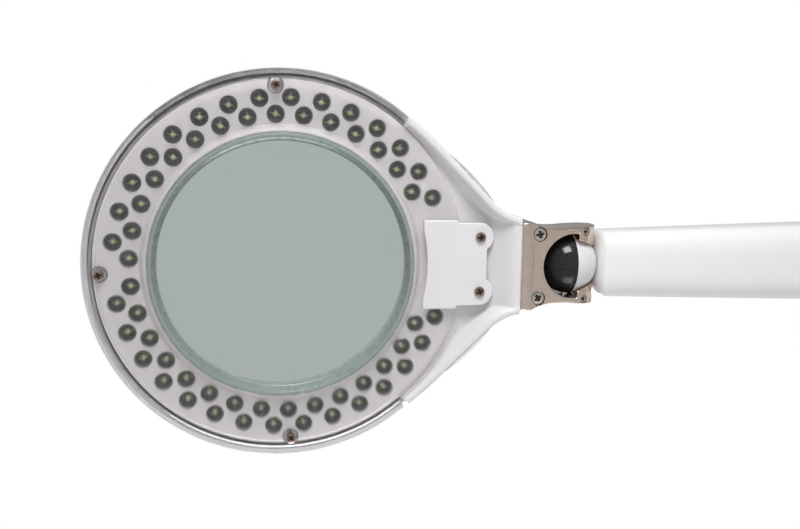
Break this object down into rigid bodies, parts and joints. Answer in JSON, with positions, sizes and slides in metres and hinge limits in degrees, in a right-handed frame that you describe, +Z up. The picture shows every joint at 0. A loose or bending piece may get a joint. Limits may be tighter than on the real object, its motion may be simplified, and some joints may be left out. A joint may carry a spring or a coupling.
{
  "type": "magnifying lamp",
  "caption": "Round magnifier lamp with a ring of lights around the lens, on a two-part covered arm with a ball joint at the head and a screw clamp for a table edge.",
  "frame": {"origin": "on the table top, at the middle of the clamp's upper pad, under the vertical swivel axis", "axes": "+Z up along the swivel axis; the arm lies in the XZ plane and the head points to -X, lights down"},
  "size_m": [0.6343, 0.1864, 0.6239],
  "materials": {
    "white_plastic": "moulded white, soft gloss",
    "arm_paint": "white powder coat",
    "clear_plastic": "clear polished",
    "lens_glass": "polished glass, pale green",
    "led_dome": "clear epoxy",
    "champagne_metal": "satin nickel",
    "steel": "zinc plated",
    "screw_steel": "nickel plated",
    "black_plastic": "black, soft gloss",
    "rubber": "matt",
    "grey_plastic": "satin grey",
    "nylon": "natural nylon",
    "brass": "turned",
    "board_green": "lacquered circuit board"
  },
  "bodies": {
    "clamp": {"clamp_frame": "arm_paint", "jaw_pad": "rubber", "swivel_bush": "brass", "feed_nut": "brass"},
    "pad": {"pressure_pad": "steel", "pad_rubber": "rubber"},
    "screw": {"clamp_screw": "steel", "tommy_bar": "steel", "bar_caps": "black_plastic"},
    "swivel": {"swivel_post": "steel", "shoulder_bracket": "arm_paint", "shoulder_drum": "nylon", "shoulder_bolt": "steel", "shoulder_discs": "rubber"},
    "shoulder_grip": {"shoulder_knob": "black_plastic"},
    "lower_arm": {"lower_bars": "steel", "lower_pins": "steel", "lower_cover_front": "white_plastic", "lower_cover_back": "white_plastic", "lower_cover_screws": "steel", "lower_springs": "steel", "lower_strap": "steel", "cord_gland": "rubber", "elbow_bolt": "steel", "elbow_drum": "nylon", "elbow_discs": "rubber"},
    "elbow_grip": {"elbow_knob": "black_plastic"},
    "upper_arm": {"upper_bars": "steel", "upper_pins": "steel", "upper_cover_top": "white_plastic", "upper_cover_bottom": "white_plastic", "upper_cover_screws": "steel", "upper_springs": "steel", "upper_strap": "steel", "arm_tip_block": "steel"},
    "ball": {"ball_hub": "black_plastic", "ball_nose": "white_plastic", "tilt_axle": "steel", "roll_stem": "steel", "roll_nut": "steel"},
    "head": {"head_housing": "white_plastic", "lens": "lens_glass", "lens_gasket": "rubber", "lens_retaining_ring": "grey_plastic", "led_board": "board_green", "leds": "led_dome", "reflector_plate": "white_plastic", "clear_cover": "clear_plastic", "cover_screws": "screw_steel", "neck_cover_plate": "white_plastic", "neck_plate_screws": "screw_steel", "driver_board": "board_green", "switch_housing": "black_plastic", "yoke_front": "champagne_metal", "yoke_rear": "champagne_metal", "yoke_neck_screws": "champagne_metal", "yoke_end_screws": "champagne_metal"},
    "rocker": {"rocker_button": "black_plastic"}
  },
  "joints": [
    {"name": "base_swivel", "type": "hinge", "parent": "clamp", "child": "swivel", "pos_m": [0, 0, 0.043], "axis": [0, 0, 1], "continuous": true},
    {"name": "shoulder_lift", "type": "hinge", "parent": "swivel", "child": "lower_arm", "pos_m": [0, 0, 0.078], "axis": [0, 1, 0], "range_deg": [-75, 35]},
    {"name": "shoulder_knob_turn", "type": "hinge", "parent": "swivel", "child": "shoulder_grip", "pos_m": [0, -0.028, 0.078], "axis": [0, 1, 0], "range_deg": [-540, 0]},
    {"name": "elbow_bend", "type": "hinge", "parent": "lower_arm", "child": "upper_arm", "pos_m": [0.09835, 0, 0.44505], "axis": [0, 1, 0], "range_deg": [-20, 85]},
    {"name": "elbow_knob_turn", "type": "hinge", "parent": "lower_arm", "child": "elbow_grip", "pos_m": [0.09835, -0.028, 0.44505], "axis": [0, 1, 0], "range_deg": [-540, 0]},
    {"name": "head_roll", "type": "hinge", "parent": "upper_arm", "child": "ball", "pos_m": [-0.25665, 0, 0.44505], "axis": [1, 0, 0], "range_deg": [-150, 150]},
    {"name": "head_tilt", "type": "hinge", "parent": "ball", "child": "head", "pos_m": [-0.28165, 0, 0.44505], "axis": [0, 1, 0], "range_deg": [-85, 85]},
    {"name": "switch_rock", "type": "hinge", "parent": "head", "child": "rocker", "pos_m": [-0.34015, 0, 0.46605], "axis": [0, 1, 0], "range_deg": [0, 20]},
    {"name": "pad_feed", "type": "slide", "parent": "clamp", "child": "pad", "axis": [0, 0, 1], "range_m": [-0.0226, 0.0281]},
    {"name": "screw_turn", "type": "hinge", "parent": "pad", "child": "screw", "pos_m": [0, 0, -0.09], "axis": [0, 0, 1], "range_deg": [-4050, 5040]}
  ],
  "couplings": [
    {"joint": "pad_feed", "follows": "screw_turn", "m_per_rad": 0.00031831}
  ]
}
